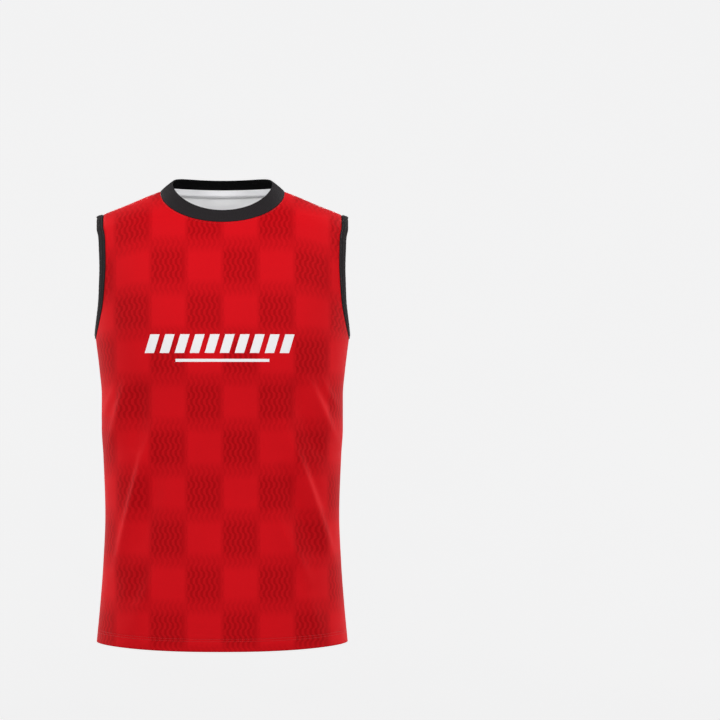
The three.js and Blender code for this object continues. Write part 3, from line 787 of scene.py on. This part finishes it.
def rib_outline():
    """Foot to fold outside, round the fold, and back down inside: places, ways up and slots."""
    rings, gone = [], []
    for s in np.linspace(0, 1, SIDE_POINTS):
        rings.append(band_face(s) + outward * (ridge - hump(s * RIB_HIGH, (0.5, 1.2))))
        gone.append(s * RIB_HIGH)
    radius = RIB_CLOTH / 2
    for a in np.linspace(0, np.pi, ROLL_POINTS + 2)[1:-1]:
        away = outward * math.cos(a) + upward * math.sin(a)
        rings.append(top - outward * radius + away * (radius + ridge))
        gone.append(RIB_HIGH + radius * a)
    for s in np.linspace(1, 0, SIDE_POINTS):
        rings.append(band_face(s) - outward * (RIB_CLOTH + ridge))
        gone.append(RIB_HIGH + RIB_CLOTH * np.pi / 2 + (1 - s) * RIB_HIGH)
    turned = np.arange(len(rings)) >= SIDE_POINTS + ROLL_POINTS // 2
    return np.stack(rings, axis=1), np.array(gone), turned.astype(int)


rings, gone, turned_in = rib_outline()
# The turned-in half of the rib takes the darker copy, which paints the shade inside the collar.
neck_band = band_piece("neck_band", rings, run, gone, [rib_black, rib_painted_shade], turned_in)
print("neck seam", round(neck_length), "mm, ribs every", round(neck_length / RIBS, 2), "mm")

# %% [markdown]
# Each armhole is bound with a flat strip of black knit: half of it lies on the outside, and it is
# turned round the raw edge to the inside. The outline below is that strip seen end on, a little
# puffed between the seam and the fold.

# %% Armhole bindings
BINDING_STOPS, FOLD_RADIUS = 360, 1.3
OUTER_FACE, INNER_FACE = 0.25, -1.85  # how far the strip's faces are out of the panel's face
SHOULDER_REACH, SHOULDER_LIFT, SHOULDER_WIDTH = 26, 0.6, 0.88  # where and how it alters at the top


def binding_outline():
    """Pairs (off the panel's edge, out of its face): outside, round the fold, inside. The faces are
    puffed by sin(pi s)^0.6."""
    s = np.linspace(0, 1, 12)
    puff = np.sin(np.pi * s) ** 0.6
    flat_part = mix(SEAM_GAP, BINDING_WIDTH - FOLD_RADIUS, s)
    a = np.linspace(0, np.pi, 9)[1:-1]
    middle, radius = (OUTER_FACE + INNER_FACE) / 2, (OUTER_FACE - INNER_FACE) / 2
    fold = [BINDING_WIDTH - FOLD_RADIUS + FOLD_RADIUS * np.sin(a), middle + radius * np.cos(a)]
    outside = [flat_part, OUTER_FACE + 0.75 * puff]
    inside = [flat_part[::-1], INNER_FACE - 0.5 * puff]
    return np.concatenate([outside, fold, inside], axis=1).T


def binding_piece(name, side):
    """The outline carried round the armhole. Where it crosses the shoulder it is narrower, and
    turned up so that it carries on the slope of the shoulder."""
    v = np.linspace(0, 1, 181)
    edges = []
    for panel in (FRONT, BACK):
        edge, outward = cloth_at(panel, float(side), v)
        near_top = smoothstep(ARMHOLE_TOP - SHOULDER_REACH, ARMHOLE_TOP, edge[:, 2:])
        edges.append((edge, unit(outward + SHOULDER_LIFT * near_top * np.array([0, 0, 1]))))
    middle = np.array([side * half_at(UNDERARM), 0, (UNDERARM + ARMHOLE_TOP) / 2])
    at, outward, off, run, length = even_loop(*edges, BINDING_STOPS, middle)
    outline = binding_outline()
    near_top = smoothstep(ARMHOLE_TOP - SHOULDER_REACH, ARMHOLE_TOP, at[:, 2:])
    away = SEAM_GAP + (outline[None, :, 0] - SEAM_GAP) * mix(1, SHOULDER_WIDTH, near_top)
    turn = run / length * 2 * np.pi
    ripple = 0.12 * np.sin(turn * 61) * np.sin(turn * 7 + side)
    rings = (
        at[:, None]
        + off[:, None] * away[..., None]
        + outward[:, None] * (outline[None, :, 1:] + ripple[:, None, None])
    )
    piece = band_piece(name, rings, run, way_along(outline), [binding_black])
    print(name, "seam", round(length), "mm")
    return piece, (at, outward, off)


binding_left, loop_left = binding_piece("binding_left", 1)
binding_right, loop_right = binding_piece("binding_right", -1)

# %% [markdown]
# A strip of white tape covers the seam at the back of the neck from inside, so its raw edges
# don't rub. Its upper part lies on the rib and its lower part on the back panel, so it is worked
# out from the same stops as the rib.

# %% Back neck tape
TAPE_CLOTH, TAPE_BELOW, TAPE_SHARE = 0.8, 4.4, 0.37  # wall, reach under the seam, share of the rib
TAPE_HALF_WIDTH = 93.4  # it ends at the shoulder seams
tape_stops = np.flatnonzero((at[:, 1] > 0) & (np.abs(at[:, 0]) < TAPE_HALF_WIDTH))
tape_stops = tape_stops[np.argsort(at[tape_stops, 0])]


def tape_face(depth, crown):
    """Rows from the lower edge up: along the panel to the seam, then up the inside of the rib."""
    k = tape_stops
    s = np.linspace(0, TAPE_SHARE, 7)[:, None, None]
    on_rib = band_face(s)[:, k] - outward[k] * (RIB_CLOTH + RIB_RELIEF + depth)
    d = np.linspace(TAPE_BELOW, 0.8, 5)[:, None, None]
    wall = mix(RIB_CLOTH + RIB_RELIEF, CLOTH + 0.5, smoothstep(0, TAPE_BELOW, d))
    on_panel = at[k] - off[k] * d - outward[k] * (wall + depth)
    rows = np.concatenate([on_panel, on_rib])
    puff = crown * np.sin(np.linspace(0, np.pi, len(rows)))[:, None, None]
    return rows - outward[k] * puff


tape_outer, tape_inner = tape_face(0.25, 0.1), tape_face(0.25 + TAPE_CLOTH, 0.25)
tape_run, tape_rise = way_along(tape_outer, 1), way_along(tape_outer, 0)
tape_uv = np.stack([tape_run, tape_rise], axis=-1) * MM
neck_tape = skin_piece("neck_tape", tape_outer, tape_inner, tape_uv, [tape_white])
print("tape", np.round([tape_run[0, -1], tape_rise[-1].mean()], 1), "mm")

# %% [markdown]
# Stitches hold it all together, and they are real ones: each is a short plump capsule of thread
# laid on the cloth. One capsule is worked out once and copied along a line as arrays. The hem has
# two rows from a twin needle outside and a zigzag looper thread inside.

# %% Stitches as copies of one capsule
HEM_STITCH = dict(pitch=2.9, length=2.5, radius=0.26)  # in millimetres, turned by radians
PLAIN_STITCH = dict(pitch=2.9, length=2.4, radius=0.24)
TAPE_STITCH = dict(pitch=2.6, length=2.1, radius=0.22)
LOOPER, LOOPER_AT = dict(pitch=1.7, length=4.2, radius=0.24, turn=1.15), 17.3
OVERLOCK = dict(pitch=1.9, length=4.4, radius=0.2, turn=1.1)
CAPSULE_RINGS, CAPSULE_SIDES = np.array([-1.0, -0.72, 0.0, 0.72, 1.0]), 6


def capsule(length, radius):
    """Six-sided rings round the long axis, whose radius goes as (1 - s^2)^0.4, and two caps."""
    s = CAPSULE_RINGS
    thick = radius * np.maximum(1 - s**2, 0.02) ** 0.4
    a = np.arange(CAPSULE_SIDES) * 2 * np.pi / CAPSULE_SIDES
    points = np.stack(np.broadcast_arrays(
        (s * length / 2)[:, None], thick[:, None] * np.cos(a), thick[:, None] * np.sin(a)
    ), axis=-1)
    quads = grid_quads(len(s), CAPSULE_SIDES, wrap_columns=True)
    cap = np.array([[0, 1, 2, 3], [3, 4, 5, 0]])
    last = (len(s) - 1) * CAPSULE_SIDES
    return points.reshape(-1, 3), np.concatenate([quads, cap[:, ::-1], cap + last])


def stitch_row(points, outward, pitch, length, radius, turn=0.0):
    """Points and faces of stitches every `pitch` along a line, turned by `turn` both ways."""
    way = way_along(points)
    centres = np.arange(pitch / 2, way[-1], pitch)
    at, out = read_off(centres, way, points), unit(read_off(centres, way, outward))
    along = unit(read_off(centres + 0.5, way, points) - at + 1e-9)
    side = unit(np.cross(out, along))
    angle = turn * np.where(np.arange(len(centres)) % 2, 1, -1)[:, None]
    cosine, sine = np.cos(angle), np.sin(angle)
    along, side = along * cosine + side * sine, side * cosine - along * sine
    body, faces = capsule(length, radius)
    placed = (
        at[:, None]
        + along[:, None] * body[None, :, :1]
        + side[:, None] * body[None, :, 1:2]
        + out[:, None] * body[None, :, 2:]
    )
    numbers = faces[None] + (np.arange(len(centres)) * len(body))[:, None, None]
    return placed.reshape(-1, 3), numbers.reshape(-1, 4)


def stitch_piece(name, rows, material):
    """Joins several rows of stitches into one piece."""
    starts = np.cumsum([0] + [len(points) for points, _ in rows])
    faces = np.concatenate([faces + start for (_, faces), start in zip(rows, starts)])
    points = np.concatenate([points for points, _ in rows])
    piece = piece_from(name, points, faces, points[:, :2] * MM, [material])
    stitches = len(points) // (len(CAPSULE_RINGS) * CAPSULE_SIDES)
    print(name, stitches, "stitches,", len(faces) * 2, "triangles")
    return piece


def hem_line(panel, over_edge, out):
    """A line round one panel at a height over the hem's edge, and `out` off the cloth's face."""
    u = np.linspace(-0.995, 0.995, 600)
    return cloth_at(panel, u, over_edge / (UNDERARM - hem_height(panel, np.abs(u))) - 1, out)


hem_rows = [
    stitch_row(*hem_line(panel, over, -0.02), **HEM_STITCH)
    for panel in (FRONT, BACK) for over in STITCH_ROWS
]
hem_stitches = stitch_piece("hem_stitches", hem_rows, red_thread)
looper_rows = [
    stitch_row(*hem_line(panel, LOOPER_AT, -HEM_CLOTH - 0.12), **LOOPER)
    for panel in (FRONT, BACK)
]
hem_looper = stitch_piece("hem_looper_thread", looper_rows, white_thread)

# %% [markdown]
# A row of stitches on the body, just below the rib, presses the turned edges flat. The tape has a
# row along each of its edges. Each binding has two: one by its seam and one along its middle.

# %% Stitches at the neck and the armholes
def below_top(panel, u, below, out):
    """The cloth `below` mm under the top edge. A step of v is 50 times what 0.02 of it measures."""
    near = np.linalg.norm(cloth_at(panel, u, 1.0)[0] - cloth_at(panel, u, 0.98)[0], axis=-1)
    return cloth_at(panel, u, 1 - below / (near / 0.02), out)


def neck_line(panel):
    """A line just under the rib, 3.2 mm from its seam."""
    return below_top(panel, np.linspace(-NECK_SHARE * 0.985, NECK_SHARE * 0.985, 500), 3.2, 0.12)


neck_stitches = stitch_piece(
    "neck_stitches",
    [stitch_row(*neck_line(panel), **PLAIN_STITCH) for panel in (FRONT, BACK)],
    red_thread,
)
tape_rows = [
    stitch_row(tape_inner[row] - outward[tape_stops] * 0.1, -outward[tape_stops], **TAPE_STITCH)
    for row in (1, -2)
]
tape_stitches = stitch_piece("tape_stitches", tape_rows, white_thread)


def binding_rows(loop):
    """Two rows on the strip: 1.9 and 6.2 mm off the panel's edge."""
    at, outward, off = (np.concatenate([values, values[:1]]) for values in loop)
    return [
        stitch_row(at + off * away + outward * out, outward, **PLAIN_STITCH)
        for away, out in ((1.9, 1.0), (6.2, 1.2))
    ]


binding_stitches = stitch_piece(
    "binding_stitches", binding_rows(loop_left) + binding_rows(loop_right), black_thread
)

# %% [markdown]
# Inside, each side and shoulder seam leaves a narrow turned edge bound with overlock thread. It
# shows through the neck, the armholes and from below, so it is here: a soft strip that lies on
# the back panel, with slanted stitches over it.

# %% Overlocked seams inside
SEAM_WIDE, SEAM_THICK, SEAM_UNDER = 6.0, 0.55, CLOTH + 0.35
SEAM_COLUMNS, HALF_CHEST = 7, 186.0
SEAM_FOOT, SEAM_TOP = -1 + 24 / 470, -0.004  # the side strip's ends as values of v


def side_line(side, t, d, out):
    """Share t up a side seam, d mm from it on the back panel, and `out` off the panel's face."""
    return cloth_at(BACK, side * (1 - d / HALF_CHEST), mix(SEAM_FOOT, SEAM_TOP, t), out)[0]


def shoulder_line(side, t, d, out):
    """Share t along a shoulder seam from the neck, d mm from it on the back panel."""
    return below_top(BACK, side * mix(NECK_SHARE + 0.03, 0.985, t), d, out)[0]


def overlocked(name, line, side, stops, length):
    """A strip beside a seam, and slanted stitches down its middle."""
    t, s = np.linspace(0, 1, stops)[:, None], np.linspace(0, 1, SEAM_COLUMNS)[None, :]
    puff = 0.5 * np.sin(np.pi * s) + 0.06 * np.sin(t * stops * 1.7)
    outer = line(side, t, mix(0.6, SEAM_WIDE, s), -SEAM_UNDER)
    inner = line(side, t, mix(0.6, SEAM_WIDE, s), -(SEAM_UNDER + SEAM_THICK + puff))
    uv = np.stack(np.broadcast_arrays(s * SEAM_WIDE, t * length), axis=-1) * MM
    strip = skin_piece(name, outer, inner, uv, [inside_white])
    t = np.linspace(0, 1, stops * 2)
    middle, lower = (line(side, t, SEAM_WIDE * 0.55, -(CLOTH + depth)) for depth in (1.55, 0.55))
    return strip, stitch_row(middle, unit(middle - lower), **OVERLOCK)


strips_and_rows = [
    overlocked("side_seam_left", side_line, 1, 150, 440),
    overlocked("side_seam_right", side_line, -1, 150, 440),
    overlocked("shoulder_seam_left", shoulder_line, 1, 40, 90),
    overlocked("shoulder_seam_right", shoulder_line, -1, 40, 90),
]
seam_strips, seam_rows = zip(*strips_and_rows)
overlock_stitches = stitch_piece("overlock_stitches", seam_rows, white_thread)

# %% [markdown]
# Each piece rides on the one body. A piece that stands for a solid takes its place, and the
# solid is hidden.

# %% What each piece is
def settle(piece, nodes=()):
    """Every piece moves with the one body; those that stand for a solid take its place."""
    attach(piece, "root")
    if nodes:
        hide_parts(*nodes)


settle(front_cloth, ["front_panel"])
settle(back_cloth, ["back_panel"])
settle(neck_band, ["neck_rib"])
settle(binding_left, ["armhole_binding_left"])
settle(binding_right, ["armhole_binding_right"])
settle(neck_tape, ["back_neck_tape"])
for piece in (hem_stitches, neck_stitches, hem_looper, overlock_stitches, *seam_strips):
    settle(piece)
settle(tape_stitches)
settle(binding_stitches)

# %% [markdown]
# The bib hangs at the height of a standing wearer over a pale floor, which curves up into a round
# wall, so that every view has a plain pale ground. A ground that bright would fill every fold
# with light from all round, so it glows by itself and is hidden from the light that falls on the
# cloth. Six soft lights do that: two wide apart and a little raised on each side of the bib,
# whose slanting light draws the folds, and a weaker one between them that also reaches in through
# the neck.

# %% Floor, lights and camera
FLOOR_DROP, COVE_RADIUS, COVE_BEND, COVE_HIGH, COVE_SIDES = 1.45, 8.0, 2.5, 7.0, 96

# A disc, then a quarter circle, then an upright wall, turned round the upright axis.
bend = np.linspace(0, np.pi / 2, 14)
disc, wall = np.linspace(0.02, COVE_RADIUS, 14), [COVE_RADIUS + COVE_BEND]
radius = np.concatenate([disc, COVE_RADIUS + COVE_BEND * np.sin(bend[1:]), wall])
rise = np.concatenate([disc * 0, COVE_BEND * (1 - np.cos(bend[1:])), [COVE_HIGH]]) - FLOOR_DROP
turn = np.linspace(0, 2 * np.pi, COVE_SIDES, endpoint=False)
cove_points = np.stack(np.broadcast_arrays(
    radius[:, None] * np.cos(turn), radius[:, None] * np.sin(turn), rise[:, None]
), axis=-1).reshape(-1, 3)
cove_quads = grid_quads(len(radius), COVE_SIDES, wrap_columns=True)[:, ::-1]

pale, shader, start = new_material(
    "pale_studio",
    Specular_IOR_Level=0.0,
    Roughness=0.9,
    Emission_Color=(1, 1, 1, 1),
    Emission_Strength=0.67,
)
speckle = noise(start, 3.0, 2.0)
feed(shader, Base_Color=speckle.colours((0.80, 0.80, 0.81, 1), (0.83, 0.83, 0.84, 1)))
floor_mesh = bpy.data.meshes.new("studio_floor")
floor_mesh.from_pydata(cove_points.tolist(), [], cove_quads.tolist())
floor_mesh.polygons.foreach_set("use_smooth", np.ones(len(cove_quads), bool))
floor_mesh.materials.append(pale)
floor = bpy.data.objects.new("studio_floor", floor_mesh)
floor.visible_diffuse = False
bpy.context.scene.collection.objects.link(floor)

middle = (cad_low + cad_high) / 2


def soft_light(name, offset, size, power):
    """A square panel that faces the middle of the bib. Sizes are in metres, the power in watts."""
    data = bpy.data.lights.new(name, "AREA")
    data.shape, data.size, data.energy = "SQUARE", size, power
    light = bpy.data.objects.new(name, data)
    light.location = middle + Vector(offset)
    light.rotation_euler = (-Vector(offset)).to_track_quat("-Z", "Y").to_euler()
    light.visible_camera = False
    bpy.context.scene.collection.objects.link(light)


for facing, end in ((-1, "front"), (1, "back")):
    soft_light(end + "_left", (2.9, facing * 1.85, 1.85), 1.0, 75)
    soft_light(end + "_right", (-2.9, facing * 1.85, 1.85), 1.0, 75)
    soft_light(end + "_middle", (0, facing * 2.6, 0.9), 0.8, 22)

world = bpy.data.worlds.new("studio")
world.use_nodes = True
sky = world.node_tree.nodes["Background"]
sky.inputs["Color"].default_value, sky.inputs["Strength"].default_value = (1, 1, 1, 1), 0.2
bpy.context.scene.world = world
bpy.context.scene.view_settings.view_transform = "Standard"

CAMERA_AWAY, FRAME_WIDTH = 6.5, 1.094  # metres, and the width that the frame takes in at the bib
aim = middle + Vector((0.209, 0, 0.085))
camera_data = bpy.data.cameras.new("camera")
camera = bpy.data.objects.new("camera", camera_data)
camera.location = (0, middle.y - CAMERA_AWAY, middle.z)
camera.rotation_euler = (aim - camera.location).to_track_quat("-Z", "Y").to_euler()
camera_data.lens = camera_data.sensor_width * CAMERA_AWAY / FRAME_WIDTH
camera_data.clip_end = 60
bpy.context.scene.collection.objects.link(camera)
bpy.context.scene.camera = camera
print("lens", round(camera_data.lens, 1), "mm")
